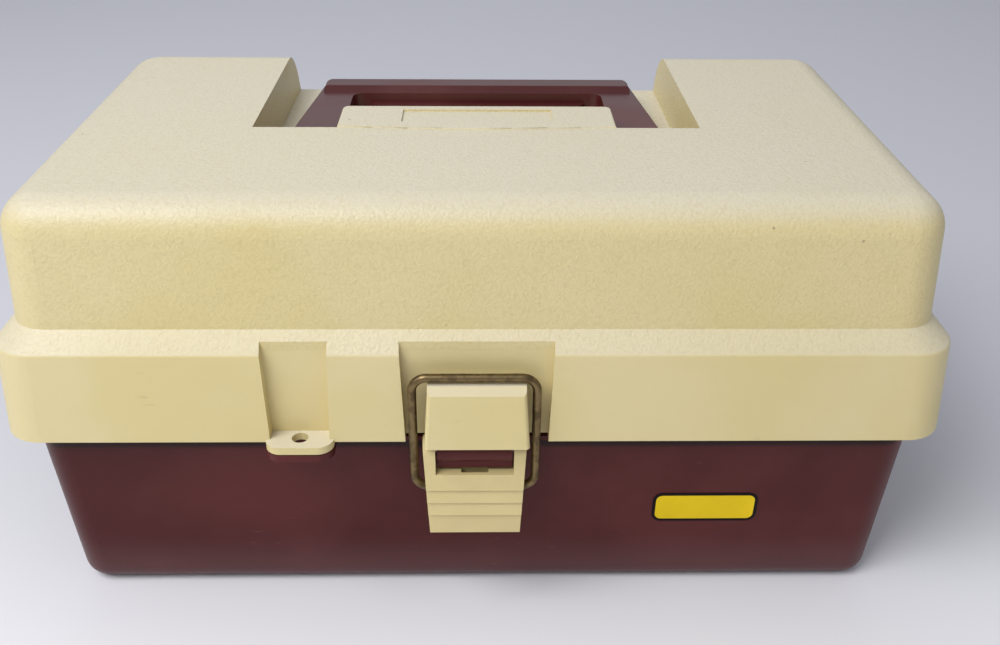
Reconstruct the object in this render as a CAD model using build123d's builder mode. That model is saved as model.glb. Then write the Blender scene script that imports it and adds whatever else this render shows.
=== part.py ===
"""Tackle box with two cantilever trays: a moulded lid over a moulded base.

Millimetres. X to the right, Y to the back, Z up, origin at the middle of the
base on the ground. The latch is on the front, at negative Y.
"""
from build123d import *
from math import atan2, cos, degrees, hypot, radians, sin
import os

os.makedirs("parts", exist_ok=True)

# Overall sizes
lid_width = 362.0
lid_depth = 214.0
box_height = 175.3
skirt_bottom = 83.2
band_height = 36.8
ledge_rise = 7.4
ledge_run = 6.9
lid_draft = 0.052
lid_wall = 2.6
band_corner = 16.5
upper_corner = 15.0
top_fillet = 13.5
band_edge_fillet = 1.5
inside_ledge_drop = 1.1
band_top = skirt_bottom + band_height
ledge_top = band_top + ledge_rise
lid_front = -lid_depth / 2
lid_back = lid_depth / 2

# Base moulding
base_inset = 8.6
base_draft = 0.054
base_wall = 2.6
base_floor = 3.0
base_corner = 12.0
base_bottom_fillet = 9.0
skirt_gap = 2.0
flange_thickness = 2.0
flange_reach = 2.5
rim_inset = 1.5
rim_wall = 2.0
rim_height = 6.3
rim_rib_gap = 0.3
rim_rib_height = 8.0
rim_rib_thickness = 2.0
rim_rib_places = (31.0, 71.0)
flange_top = skirt_bottom - skirt_gap
flange_bottom = flange_top - flange_thickness
rim_top = flange_top + rim_height

# Well in the lid's top with its tongue and label recess
well_half_width = 92.0
well_draft = 2.0
well_front = -16.0
well_depth = 19.8
tongue_half_width = 57.5
tongue_length = 26.0
tongue_bow = 2.4
tongue_rise = 0.6
tongue_wall = 2.8
tongue_back_corner = 3.0
tongue_edge_fillet = 0.9
label_width = 63.0
label_depth = 15.3
label_setback = 13.2
label_recess = 0.8
well_floor = box_height - well_depth
tongue_back = well_front + tongue_length

# Folding handle
handle_setback = 7.0
handle_lift = 7.5
handle_end_radius = 6.3
handle_side_gap = 1.0
handle_front_half = 82.0
handle_back_half = 73.5
handle_corner = 7.0
handle_edge_fillet = 1.5
handle_floor_gap = 1.7
handle_plate = 8.8
handle_reach = 67.0
grip_depth = 18.0
grip_crown = 2.6
grip_wall = 3.0
grip_bevel = 4.0
grip_inset = 0.8
finger_gap_corner = 5.0
finger_lip_depth = 4.0
finger_lip_height = 4.5
finger_lip_half = 51.0
handle_stud_radius = 3.5
running_clearance = 0.1
handle_pivot_y = well_front + handle_setback
handle_pivot_z = well_floor + handle_lift
handle_plate_bottom = well_floor + handle_floor_gap
handle_plate_top = handle_plate_bottom + handle_plate
grip_front = handle_pivot_y + handle_reach
grip_back = grip_front + grip_depth
grip_top = handle_plate_top + grip_crown

# Recesses in the skirt for the latch and the padlock tabs
recess_depth = 5.7
latch_recess_top_half = 28.9
latch_recess_bottom_half = 27.1
padlock_x = -67.0
padlock_recess_top_half = 12.5
padlock_recess_bottom_half = 11.2
recess_floor = lid_front + recess_depth

# Padlock tabs
tab_half_width = 12.8
tab_reach = 5.5
tab_corner = 6.0
tab_thickness = 3.1
tab_gap = 0.4
lid_tab_drop = 1.9
padlock_hole_radius = 3.15
padlock_hole_inset = 6.6
lid_tab_bottom = skirt_bottom - lid_tab_drop
tab_front = lid_front - tab_reach
padlock_hole_y = tab_front + padlock_hole_inset

# Draw latch: wire bail, lever, hood on the lid, boss on the base
part_gap = 0.3
pin_radius = 1.5
wire_radius = 1.65
latch_pivot_inset = 0.1
latch_pivot_drop = 3.2
latch_offset = -0.9
latch_pin_inset = 0.6
bail_width = 46.3
bail_height = 48.2
bail_lean = 1.9
bail_corner = 5.5
bail_reach = 2.2
bail_drop = 16.2
bail_seat_gap = 0.7
bail_relief_start = 15.9
bail_relief_radius = 2.4
hood_top_half = 18.2
hood_bottom_half = 19.8
hood_foot_rise = 1.6
hood_foot_reach = 7.5
hood_lip = 0.4
hood_bevel = 3.0
hood_lip_thickness = 0.6
hood_wall = 2.4
hood_shelf = 2.4
hood_side_fillet = 1.6
boss_half_width = 14.3
boss_reach = 2.7
boss_drop = 7.0
boss_round = 4.9
lever_top_half = 19.7
lever_bottom_half = 17.6
lever_drop = 36.8
lever_reach = 6.5
lever_thickness = 2.8
lever_step = 0.9
lever_step_drop = 15.4
lever_step_pitch = 6.0
lever_window_half = 14.9
lever_window_drop = 8.5
lever_end_radius = 5.3
lever_notch_half = 5.2
latch_pivot_y = lid_front + latch_pivot_inset
latch_pivot_z = skirt_bottom - latch_pivot_drop
bail_pivot_y = latch_pivot_y - bail_reach
bail_pivot_z = latch_pivot_z - bail_drop
bail_top_y = bail_pivot_y + bail_lean
bail_top_z = bail_pivot_z + bail_height
hood_bottom = skirt_bottom + hood_foot_rise
hood_foot_y = lid_front - hood_foot_reach
boss_front = latch_pivot_y - boss_reach
boss_bottom = latch_pivot_z - boss_drop
lever_bottom = latch_pivot_z - lever_drop
lever_front = latch_pivot_y - lever_reach
lever_window_bottom = latch_pivot_z - lever_window_drop
first_step_z = latch_pivot_z - lever_step_drop

# Back hinge
hinge_setback = 4.6
hinge_rise = 0.4
knuckle_radius = 4.5
hinge_centre_x = 115.0
hinge_half_length = 26.0
base_knuckle_half = 10.0
knuckle_gap = 0.4
knuckle_notch = 1.0
ear_gap = 1.2
hinge_y = lid_back + hinge_setback
hinge_z = skirt_bottom + hinge_rise

# Trays and their arms
tray_side_space = 22.5
upper_tray_inset = 0.7
tray_front_space = 17.0
tray_depth = 120.0
tray_height = 28.0
tray_wall = 2.0
tray_corner = 8.0
tray_bottom_fillet = 2.5
tray_stack_gap = 3.5
partition = 1.6
partition_drop = 3.0
front_row_depth = 64.0
cell_pitch = 53.0
divider_thickness = 1.6
divider_clearance = 0.2
guide_rib = 1.4
arm_pitch = 53.6
arm_rise_deg = 9.4
arm_spacing = 38.0
front_arm_drop = 5.0
arm_tip_setback = 14.2
arm_base_drop = 12.2
arm_thickness = 1.5
arm_half_height = 4.5
arm_side_gap = 0.35
tray_boss_reach = 3.4
lower_tray_drop = 20.5
rivet_head_radius = 3.2
rivet_head = 1.1
rivet_edge = 0.4
link_station = 60.0
link_half_height = 4.5
tray_half_width = lid_width / 2 - tray_side_space
tray_front = lid_front + tray_front_space
tray_back = tray_front + tray_depth
tray_long_wall_y = tray_front + front_row_depth
arm_base_z = skirt_bottom - arm_base_drop
lower_tray_bottom = arm_base_z - lower_tray_drop
upper_tray_bottom = lower_tray_bottom + tray_height + tray_stack_gap
rear_arm_y = tray_front + arm_tip_setback + arm_spacing + 2 * arm_pitch * cos(radians(arm_rise_deg))


def lid_half_width(z):
    """Half width of the lid's band at a height."""
    return lid_width / 2 - lid_draft * (z - skirt_bottom)


def base_half_width(z):
    """Half width of the base's outside at a height."""
    return lid_width / 2 - base_inset - base_draft * (skirt_bottom - z)


def base_half_depth(z):
    """Half depth of the base's outside at a height."""
    return lid_depth / 2 - base_inset - base_draft * (skirt_bottom - z)


def drafted_block(low_z, low_size, low_corner, high_z, high_size, high_corner):
    """Block between two rounded rectangles, each given as width and depth."""
    with BuildPart() as block:
        with BuildSketch(Plane.XY.offset(low_z)):
            RectangleRounded(low_size[0], low_size[1], low_corner)
        with BuildSketch(Plane.XY.offset(high_z)):
            RectangleRounded(high_size[0], high_size[1], high_corner)
        loft()
    return block.part


def front_trapezoid(centre_x, top_half, bottom_half, top_z, bottom_z, front, back):
    """Block whose front view is a trapezoid, from a front Y to a back Y."""
    with BuildPart() as block:
        with BuildSketch(Plane.XZ.offset(-back)):
            with BuildLine():
                Polyline(
                    (centre_x - bottom_half, bottom_z),
                    (centre_x + bottom_half, bottom_z),
                    (centre_x + top_half, top_z),
                    (centre_x - top_half, top_z),
                    close=True,
                )
            make_face()
        extrude(amount=back - front)
    return block.part


def rod(radius, start_x, end_x, y, z):
    """Round bar along X."""
    with BuildPart() as bar:
        with BuildSketch(Plane.YZ.offset(min(start_x, end_x))):
            with Locations((y, z)):
                Circle(radius)
        extrude(amount=abs(end_x - start_x))
    return bar.part


def bench_box(low, high):
    """Plain box from its lowest corner to its highest corner."""
    size = [b - a for a, b in zip(low, high)]
    middle = tuple((a + b) / 2 for a, b in zip(low, high))
    with BuildPart() as block:
        with Locations(middle):
            Box(*size)
    return block.part


def lid_form(shrink, ledge_drop, foot_z):
    """Outside of the lid, or its inside when shrunk by the wall."""
    crease_half = lid_half_width(band_top) - ledge_run
    top_inset = lid_draft * (box_height - ledge_top)
    depth_less = (lid_width - lid_depth) / 2
    band_low = 2 * (lid_half_width(foot_z) - shrink)
    band_high = 2 * (lid_half_width(band_top) - shrink)
    upper_low = 2 * (crease_half - shrink)
    upper_high = 2 * (crease_half - top_inset - shrink)
    band_z = band_top - ledge_drop
    ledge_z = ledge_top - ledge_drop
    top_z = box_height - shrink
    with BuildPart() as form:
        add(drafted_block(foot_z, (band_low, band_low - 2 * depth_less), band_corner - shrink,
                          band_z, (band_high, band_high - 2 * depth_less), band_corner - shrink))
        add(drafted_block(band_z, (band_high, band_high - 2 * depth_less), band_corner - shrink,
                          ledge_z, (upper_low, upper_low - 2 * depth_less), upper_corner - shrink))
        add(drafted_block(ledge_z, (upper_low, upper_low - 2 * depth_less), upper_corner - shrink,
                          top_z, (upper_high, upper_high - 2 * depth_less), upper_corner - shrink))
        top_edges = form.edges().group_by(Axis.Z)[-1]
        fillet(top_edges, radius=top_fillet - shrink)
    return form.part


def well_form(grow, top_z):
    """Space of the handle's well, open at the back, grown by a wall."""
    floor_half = well_half_width - well_draft + grow
    top_half = well_half_width + grow
    with BuildPart() as form:
        with BuildSketch(Plane.XZ.offset(-(well_front - grow))):
            with BuildLine():
                Polyline(
                    (-floor_half, well_floor - grow),
                    (floor_half, well_floor - grow),
                    (top_half, top_z),
                    (-top_half, top_z),
                    close=True,
                )
            make_face()
        extrude(amount=-(lid_depth / 2 - well_front + grow))
    return form.part


def make_tongue():
    """Tongue in the well, bowed at the front and hollow underneath."""
    top_z = box_height + tongue_rise
    with BuildPart() as tongue:
        with BuildSketch(Plane.XY.offset(well_floor - lid_wall)):
            with BuildLine():
                ThreePointArc(
                    (-tongue_half_width, well_front),
                    (0, well_front - tongue_bow),
                    (tongue_half_width, well_front),
                )
                Polyline(
                    (tongue_half_width, well_front),
                    (tongue_half_width, tongue_back),
                    (-tongue_half_width, tongue_back),
                    (-tongue_half_width, well_front),
                )
            make_face()
        extrude(amount=top_z - well_floor + lid_wall)
        uprights = tongue.edges().filter_by(Axis.Z).group_by(Axis.Y)[-1]
        fillet(uprights, radius=tongue_back_corner)
        fillet(tongue.edges().group_by(Axis.Z)[-1], radius=tongue_edge_fillet)
        with BuildSketch(Plane.XY.offset(top_z - label_recess)):
            with Locations((0, well_front + label_setback)):
                Rectangle(label_width, label_depth)
        extrude(amount=label_recess + 1.0, mode=Mode.SUBTRACT)
    return tongue.part


def tongue_hollow():
    """Space under the tongue, open to the inside of the lid."""
    return bench_box(
        (-tongue_half_width + tongue_wall, well_front + tongue_wall, well_floor - 2 * lid_wall),
        (tongue_half_width - tongue_wall, tongue_back - tongue_wall, box_height - lid_wall),
    )


def make_hood():
    """Hook on the lid that the bail draws down on: a shelf and a front plate."""
    shelf_top = bail_top_z - wire_radius - bail_seat_gap
    lip_y = bail_top_y - wire_radius - part_gap
    lip_z = shelf_top + hood_lip
    with BuildPart() as hood:
        with BuildSketch(Plane.YZ.offset(-hood_bottom_half - 1)):
            with BuildLine():
                Polyline(
                    (recess_floor + 1, shelf_top),
                    (lip_y, shelf_top),
                    (lip_y, lip_z),
                    (lip_y - hood_lip_thickness, lip_z),
                    (lip_y - hood_bevel, lip_z - hood_bevel),
                    (hood_foot_y, hood_bottom),
                    (hood_foot_y + hood_wall, hood_bottom),
                    (lip_y - 0.4, shelf_top - hood_shelf),
                    (recess_floor + 1, shelf_top - hood_shelf),
                    close=True,
                )
            make_face()
        extrude(amount=2 * hood_bottom_half + 2)
        add(front_trapezoid(0, hood_top_half, hood_bottom_half, lip_z, hood_bottom,
                            hood_foot_y - 5, recess_floor + 1), mode=Mode.INTERSECT)
        fillet(hood.edges().filter_by(lambda e: abs(e.tangent_at(0.5).Z) > 0.9)
               .group_by(Axis.Y)[0], radius=hood_side_fillet)
    return hood.part


def tab_form(bottom_z, back_y):
    """Padlock tab with rounded front corners and its hole."""
    with BuildPart() as tab:
        with BuildSketch(Plane.XY.offset(bottom_z)):
            with Locations((padlock_x, (tab_front + back_y) / 2)):
                Rectangle(2 * tab_half_width, back_y - tab_front)
        extrude(amount=tab_thickness)
        fillet(tab.edges().filter_by(Axis.Z).group_by(Axis.Y)[0], radius=tab_corner)
        with BuildSketch(Plane.XY.offset(bottom_z - 1)):
            with Locations((padlock_x, padlock_hole_y)):
                Circle(padlock_hole_radius)
        extrude(amount=tab_thickness + 2, mode=Mode.SUBTRACT)
    return tab.part


def mirrored(x_values):
    """Each distance to the right and to the left."""
    return [side * x for x in x_values for side in (1, -1)]


def arm_point(pivot, distance):
    """Point on an arm, a distance from its pivot in the base."""
    angle = radians(arm_rise_deg)
    return (pivot[0] - distance * cos(angle), pivot[1] + distance * sin(angle))


arm_pivots = {
    "rear": (rear_arm_y, arm_base_z),
    "front": (rear_arm_y - arm_spacing, arm_base_z - front_arm_drop),
}
tray_outer = tray_half_width + tray_boss_reach
arm_inner_x = tray_outer + arm_side_gap
arm_outer_x = arm_inner_x + arm_thickness
link_inner_x = arm_outer_x + rivet_head + 2 * arm_side_gap
link_outer_x = link_inner_x + arm_thickness
link_foot = arm_point(arm_pivots["rear"], link_station)
link_shift = (hinge_y - rear_arm_y, hinge_z - arm_base_z)
link_head = (link_foot[0] + link_shift[0], link_foot[1] + link_shift[1])

# Base moulding
base_foot = (2 * base_half_width(0), 2 * base_half_depth(0))
base_head = (2 * base_half_width(flange_top), 2 * base_half_depth(flange_top))
base_shell = drafted_block(0, base_foot, base_corner, flange_top, base_head, base_corner)
base_space_foot = [2 * (f(base_floor) - base_wall) for f in (base_half_width, base_half_depth)]
base_space_head = [2 * (f(flange_top) - base_wall) for f in (base_half_width, base_half_depth)]
base_space = drafted_block(base_floor, base_space_foot, base_corner - base_wall,
                           flange_top, base_space_head, base_corner - base_wall)
latch_boss_block = bench_box(
    (latch_offset - boss_half_width, boss_front, boss_bottom),
    (latch_offset + boss_half_width, -base_half_depth(boss_bottom) + base_wall / 2, latch_pivot_z),
)

with BuildPart() as base:
    add(base_shell)
    fillet(base.edges().group_by(Axis.Z)[0], radius=base_bottom_fillet)
    with BuildSketch(Plane.XY.offset(flange_bottom)):
        RectangleRounded(base_head[0] + 2 * flange_reach, base_head[1] + 2 * flange_reach,
                         base_corner + flange_reach)
    extrude(amount=flange_top - flange_bottom)
    with BuildSketch(Plane.XY.offset(flange_bottom)):
        RectangleRounded(base_head[0] - 2 * rim_inset, base_head[1] - 2 * rim_inset,
                         base_corner - rim_inset)
    extrude(amount=rim_top - flange_bottom)
    # Latch boss, rounded over its pin
    add(latch_boss_block)
    add(rod(boss_round, latch_offset - boss_half_width, latch_offset + boss_half_width,
            latch_pivot_y, latch_pivot_z))
    # Hinge ears below and behind the skirt
    for x in mirrored([hinge_centre_x]):
        add(rod(knuckle_radius, x - base_knuckle_half, x + base_knuckle_half, hinge_y, hinge_z))
        add(bench_box(
            (x - base_knuckle_half, base_half_depth(flange_bottom) - 1, hinge_z - knuckle_radius),
            (x + base_knuckle_half, hinge_y, skirt_bottom - ear_gap),
        ))
    # Inside of the shell and of the rim above it
    add(base_space, mode=Mode.SUBTRACT)
    with BuildSketch(Plane.XY.offset(flange_top - 0.01)):
        RectangleRounded(base_head[0] - 2 * (rim_inset + rim_wall),
                         base_head[1] - 2 * (rim_inset + rim_wall),
                         base_corner - rim_inset - rim_wall)
    extrude(amount=rim_top, mode=Mode.SUBTRACT)
    for x in mirrored([hinge_centre_x]):
        add(rod(pin_radius + running_clearance / 2, x - hinge_half_length, x + hinge_half_length,
                hinge_y, hinge_z), mode=Mode.SUBTRACT)
    add(rod(pin_radius + running_clearance / 2, latch_offset - lever_top_half,
            latch_offset + lever_top_half, latch_pivot_y, latch_pivot_z), mode=Mode.SUBTRACT)
    # Blind bores in the side walls for the tails of the arm rivets
    boss_x = arm_outer_x + arm_side_gap
    boss_places = [(side, *pivot) for pivot in arm_pivots.values() for side in (1, -1)]
    for side, y, z in boss_places:
        wall_x = base_half_width(z) - base_wall / 2
        add(rod(pin_radius + running_clearance / 2, side * boss_x, side * (wall_x - 1), y, z),
            mode=Mode.SUBTRACT)
base.part.label = "base"

# Bosses inside the side walls that carry the arms, cut to meet the walls face to face
with BuildPart() as base_arm_bosses:
    for side, y, z in boss_places:
        wall_x = base_half_width(z) - base_wall / 2
        add(rod(arm_half_height, side * boss_x, side * wall_x, y, z))
        add(rod(pin_radius + running_clearance / 2, side * boss_x, side * wall_x, y, z),
            mode=Mode.SUBTRACT)
    add(base.part, mode=Mode.SUBTRACT)

# Padlock tab under the base's flange, cut to meet the moulding face to face
with BuildPart() as base_padlock_tab:
    add(tab_form(lid_tab_bottom - tab_gap - tab_thickness, -base_half_depth(flange_bottom) + 1))
    add(base.part, mode=Mode.SUBTRACT)

# Lid moulding
lid_outside = lid_form(0, 0, skirt_bottom)
lid_inside = lid_form(lid_wall, inside_ledge_drop, skirt_bottom)
latch_recess = front_trapezoid(0, latch_recess_top_half, latch_recess_bottom_half,
                               ledge_top + 5, skirt_bottom - 1, -lid_depth, recess_floor)
latch_recess_wall = front_trapezoid(
    0, latch_recess_top_half + lid_wall, latch_recess_bottom_half + lid_wall,
    ledge_top + 5, skirt_bottom, -lid_depth, recess_floor + lid_wall)
padlock_recess = front_trapezoid(
    padlock_x, padlock_recess_top_half, padlock_recess_bottom_half,
    ledge_top + 5, skirt_bottom - 1, -lid_depth, recess_floor)
padlock_recess_wall = front_trapezoid(
    padlock_x, padlock_recess_top_half + lid_wall, padlock_recess_bottom_half + lid_wall,
    ledge_top + 5, skirt_bottom, -lid_depth, recess_floor + lid_wall)
hinge_notch_front = lid_back - 2 * lid_wall
lid_knuckle_spans = [
    (base_knuckle_half + knuckle_gap, hinge_half_length),
    (-hinge_half_length, -base_knuckle_half - knuckle_gap),
]

with BuildPart() as lid_space:
    add(lid_inside)
    add(well_form(lid_wall, box_height), mode=Mode.SUBTRACT)
    add(latch_recess_wall, mode=Mode.SUBTRACT)
    add(padlock_recess_wall, mode=Mode.SUBTRACT)
    add(tongue_hollow())

with BuildPart() as lid:
    add(lid_outside)
    fillet(lid.edges().filter_by_position(Axis.Z, band_top - 0.01, band_top + 0.01),
           radius=band_edge_fillet)
    add(well_form(0, box_height + 1), mode=Mode.SUBTRACT)
    add(latch_recess, mode=Mode.SUBTRACT)
    add(padlock_recess, mode=Mode.SUBTRACT)
    add(make_tongue())
    add(lid_space.part, mode=Mode.SUBTRACT)
    add(make_hood())
    # Notches in the back skirt for the base's knuckles, and the lid's own knuckles
    for x in mirrored([hinge_centre_x]):
        reach = base_knuckle_half + knuckle_gap
        add(bench_box(
            (x - reach, hinge_notch_front, skirt_bottom - 1),
            (x + reach, hinge_y + knuckle_radius, hinge_z + knuckle_radius + knuckle_notch),
        ), mode=Mode.SUBTRACT)
        for start, end in lid_knuckle_spans:
            add(rod(knuckle_radius, x + start, x + end, hinge_y, hinge_z))
            add(bench_box(
                (x + start, lid_half_width(hinge_z) - (lid_width - lid_depth) / 2 - lid_wall,
                 hinge_z - knuckle_gap),
                (x + end, hinge_y, hinge_z + knuckle_radius),
            ))
            add(rod(pin_radius + running_clearance, x + start - 1, x + end + 1, hinge_y, hinge_z),
                mode=Mode.SUBTRACT)
    # Bores for the handle's studs
    for side in (1, -1):
        add(rod(handle_stud_radius + running_clearance, side * (tongue_half_width - 2 * tongue_wall),
                side * (tongue_half_width + 1), handle_pivot_y, handle_pivot_z),
            mode=Mode.SUBTRACT)
    # Bosses for the tray links
    for side in (1, -1):
        wall_x = lid_half_width(link_head[1]) - lid_wall / 2
        boss_x = link_outer_x + arm_side_gap
        add(rod(link_half_height, side * boss_x, side * wall_x, *link_head))
        add(rod(pin_radius + running_clearance / 2, side * boss_x, side * (wall_x - 1), *link_head),
            mode=Mode.SUBTRACT)
    # Ribs that rest on the rim
    rib_wall_y = lid_back - lid_wall
    rim_inner_y = base_half_depth(flange_top) - rim_inset - rim_wall
    for x in mirrored([lid_width / 2 - place for place in rim_rib_places]):
        for y_side in (1, -1):
            y_pair = sorted((y_side * rim_inner_y, y_side * rib_wall_y))
            add(bench_box(
                (x - rim_rib_thickness / 2, y_pair[0], rim_top + rim_rib_gap),
                (x + rim_rib_thickness / 2, y_pair[1], rim_top + rim_rib_gap + rim_rib_height),
            ))
lid.part.label = "lid"

# Padlock tab at the foot of its recess, cut to meet the moulding face to face
with BuildPart() as lid_padlock_tab:
    add(tab_form(lid_tab_bottom, recess_floor + lid_wall))
    add(lid.part, mode=Mode.SUBTRACT)

# Handle: two flat legs, a raised grip with a finger lip, and studs into the tongue
handle_inner_half = tongue_half_width + handle_side_gap
with BuildPart() as grip:
    with BuildSketch(Plane.YZ.offset(-handle_front_half)):
        with BuildLine():
            Polyline(
                (grip_front, handle_plate_top - 1),
                (grip_front, handle_plate_top),
                (grip_front + grip_bevel, grip_top),
                (grip_back - grip_bevel, grip_top),
                (grip_back - grip_inset, handle_plate_top),
                (grip_back - grip_inset, handle_plate_top - 1),
                close=True,
            )
        make_face()
    extrude(amount=2 * handle_front_half)
    with BuildSketch(Plane.XY.offset(handle_plate_top - 1)):
        with Locations((0, grip_back - grip_inset - handle_reach / 2)):
            RectangleRounded(2 * (handle_back_half - grip_inset), handle_reach, handle_corner)
    extrude(amount=grip_crown + 1, mode=Mode.INTERSECT)
    fillet(grip.edges().group_by(Axis.Z)[-1], radius=handle_edge_fillet)

with BuildPart() as handle:
    with BuildSketch(Plane.XY.offset(handle_plate_bottom)):
        with BuildLine():
            Polyline(
                (-handle_front_half, handle_pivot_y),
                (handle_front_half, handle_pivot_y),
                (handle_back_half, grip_back),
                (-handle_back_half, grip_back),
                close=True,
            )
        make_face()
    extrude(amount=handle_plate_top - handle_plate_bottom)
    fillet(handle.edges().filter_by(Axis.Z).group_by(Axis.Y)[-1], radius=handle_corner)
    fillet(handle.edges().group_by(Axis.Z)[-1].filter_by(Axis.Y, reverse=True)
           .sort_by(Axis.Y)[-3:], radius=handle_edge_fillet)
    add(grip.part)
    # Gap for the fingers
    with BuildSketch(Plane.XY.offset(handle_plate_bottom - 1)):
        with Locations((0, grip_front - handle_reach)):
            RectangleRounded(2 * handle_inner_half, 2 * handle_reach, finger_gap_corner)
    extrude(amount=box_height, mode=Mode.SUBTRACT)
    # Channel under the grip
    with BuildSketch(Plane.XY.offset(handle_plate_bottom)):
        with Locations((0, (grip_front + grip_back) / 2)):
            RectangleRounded(2 * (handle_back_half - 4 * grip_wall),
                             grip_back - grip_front - 2 * grip_wall, 3.0)
    extrude(amount=grip_top - grip_wall - handle_plate_bottom, mode=Mode.SUBTRACT)
    # Finger lip along the lower front edge of the grip
    with BuildSketch(Plane.XY.offset(handle_plate_bottom)):
        with Locations((0, grip_front - finger_lip_depth / 2 + 1)):
            RectangleRounded(2 * finger_lip_half, finger_lip_depth + 2, 2.9)
    extrude(amount=finger_lip_height)
    for side in (1, -1):
        end_x = (side * handle_inner_half, side * (handle_front_half - 0.4))
        add(rod(handle_end_radius, *end_x, handle_pivot_y, handle_pivot_z))
        add(rod(handle_stud_radius, side * handle_inner_half,
                side * (tongue_half_width - tongue_wall), handle_pivot_y, handle_pivot_z))
handle.part.label = "handle"

# Latch lever: two cheeks on the pin, a cross bar round the wire, a ribbed plate
plate_back = lever_front + lever_thickness
cross_bar_bottom = bail_pivot_z - wire_radius - lever_thickness
with BuildPart() as latch_lever:
    with BuildSketch(Plane.YZ.offset(-lever_top_half - 1)):
        with BuildLine():
            Polyline(
                (latch_pivot_y + lever_end_radius, latch_pivot_z),
                (latch_pivot_y - lever_end_radius, latch_pivot_z),
                (lever_front + lever_step, lever_window_bottom),
                (lever_front, first_step_z),
                (lever_front + lever_step, first_step_z),
                (lever_front, first_step_z - lever_step_pitch),
                (lever_front + lever_step, first_step_z - lever_step_pitch),
                (lever_front, first_step_z - 2 * lever_step_pitch),
                (lever_front + lever_step, first_step_z - 2 * lever_step_pitch),
                (lever_front + lever_step, lever_bottom),
                (plate_back, lever_bottom),
                (plate_back, cross_bar_bottom - 1),
                (bail_pivot_y + wire_radius + lever_thickness / 2, cross_bar_bottom + 1),
                (bail_pivot_y + wire_radius + lever_thickness / 2, lever_window_bottom),
                close=True,
            )
        make_face()
    extrude(amount=2 * lever_top_half + 2)
    add(rod(lever_end_radius, -lever_top_half, lever_top_half, latch_pivot_y, latch_pivot_z))
    add(front_trapezoid(0, lever_top_half, lever_bottom_half,
                        latch_pivot_z + lever_end_radius + 1, lever_bottom,
                        lever_front - 5, latch_pivot_y + 10), mode=Mode.INTERSECT)
    add(bench_box(
        (-lever_window_half, lever_front - 5, lever_window_bottom),
        (lever_window_half, latch_pivot_y + 10, latch_pivot_z + 10),
    ), mode=Mode.SUBTRACT)
    add(rod(wire_radius + running_clearance, -lever_top_half - 1, lever_top_half + 1,
            bail_pivot_y, bail_pivot_z), mode=Mode.SUBTRACT)
    for side in (1, -1):
        add(rod(bail_relief_radius, side * bail_relief_start, side * (lever_top_half + 1),
                bail_pivot_y, bail_pivot_z), mode=Mode.SUBTRACT)
    add(bench_box(
        (-lever_notch_half, bail_pivot_y - wire_radius - running_clearance,
         bail_pivot_z - wire_radius - running_clearance),
        (lever_notch_half, latch_pivot_y, lever_window_bottom + 1),
    ), mode=Mode.SUBTRACT)
    add(rod(pin_radius + running_clearance, -lever_top_half - 1, lever_top_half + 1,
            latch_pivot_y, latch_pivot_z), mode=Mode.SUBTRACT)

# Bail: one closed loop of round wire, leaning back a little
bail_rise = hypot(bail_top_z - bail_pivot_z, bail_top_y - bail_pivot_y)
bail_plane = Plane(
    origin=(0, (bail_pivot_y + bail_top_y) / 2, (bail_pivot_z + bail_top_z) / 2),
    x_dir=(1, 0, 0),
    z_dir=(0, -(bail_top_z - bail_pivot_z), bail_top_y - bail_pivot_y),
)
with BuildSketch(bail_plane) as bail_outline:
    RectangleRounded(bail_width, bail_rise, bail_corner)
bail_path = bail_outline.sketch.faces()[0].outer_wire()
with BuildPart() as latch_bail:
    with BuildSketch(Plane(origin=bail_path @ 0, z_dir=bail_path % 0)):
        Circle(wire_radius)
    sweep(path=bail_path)


def joined(solids):
    """Several separate solids as one piece of the model."""
    with BuildPart() as group:
        for solid in solids:
            add(solid)
    return group.part


def rivet(head_x, tail_x, y, z):
    """Rivet along X with its head at the first place and its tail at the other."""
    out = 1 if tail_x > head_x else -1
    with BuildPart() as piece:
        add(rod(rivet_head_radius, head_x, head_x + out * rivet_head, y, z))
        add(rod(pin_radius, head_x, tail_x, y, z))
        fillet(piece.faces().sort_by(Axis.X)[0 if out > 0 else -1].edges(), radius=rivet_edge)
    return piece.part


# Steel pins
hinge_pins = joined([
    rod(pin_radius, x - hinge_half_length, x + hinge_half_length, hinge_y, hinge_z)
    for x in mirrored([hinge_centre_x])
])
hinge_pins.label = "hinge_pins"
latch_pin_half = lever_top_half - latch_pin_inset
latch_pin = rod(pin_radius, latch_offset - latch_pin_half, latch_offset + latch_pin_half,
                latch_pivot_y, latch_pivot_z)
latch_pin.label = "latch_pin"


def make_arm(pivot, side, with_link):
    """Flat steel arm with rounded ends and a hole at each pivot."""
    tip = arm_point(pivot, 2 * arm_pitch)
    middle = arm_point(pivot, arm_pitch)
    start_x = arm_inner_x if side > 0 else -arm_outer_x
    with BuildPart() as arm:
        with BuildSketch(Plane.YZ.offset(start_x)):
            with Locations(Location((middle[0], middle[1]), -arm_rise_deg)):
                SlotCenterToCenter(2 * arm_pitch, 2 * arm_half_height)
            with Locations(pivot, middle, tip):
                Circle(pin_radius + running_clearance, mode=Mode.SUBTRACT)
            if with_link:
                with Locations(link_foot):
                    Circle(pin_radius + running_clearance / 2, mode=Mode.SUBTRACT)
        extrude(amount=arm_thickness)
    return arm.part


def make_link(side):
    """Flat steel link from the rear arm up to the lid."""
    length = hypot(*link_shift)
    angle = degrees(atan2(link_shift[1], link_shift[0]))
    start_x = link_inner_x if side > 0 else -link_outer_x
    centre = ((link_foot[0] + link_head[0]) / 2, (link_foot[1] + link_head[1]) / 2)
    with BuildPart() as link:
        with BuildSketch(Plane.YZ.offset(start_x)):
            with Locations(Location(centre, angle)):
                SlotCenterToCenter(length, 2 * link_half_height)
            with Locations(link_foot, link_head):
                Circle(pin_radius + running_clearance, mode=Mode.SUBTRACT)
        extrude(amount=arm_thickness)
    return link.part


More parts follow.
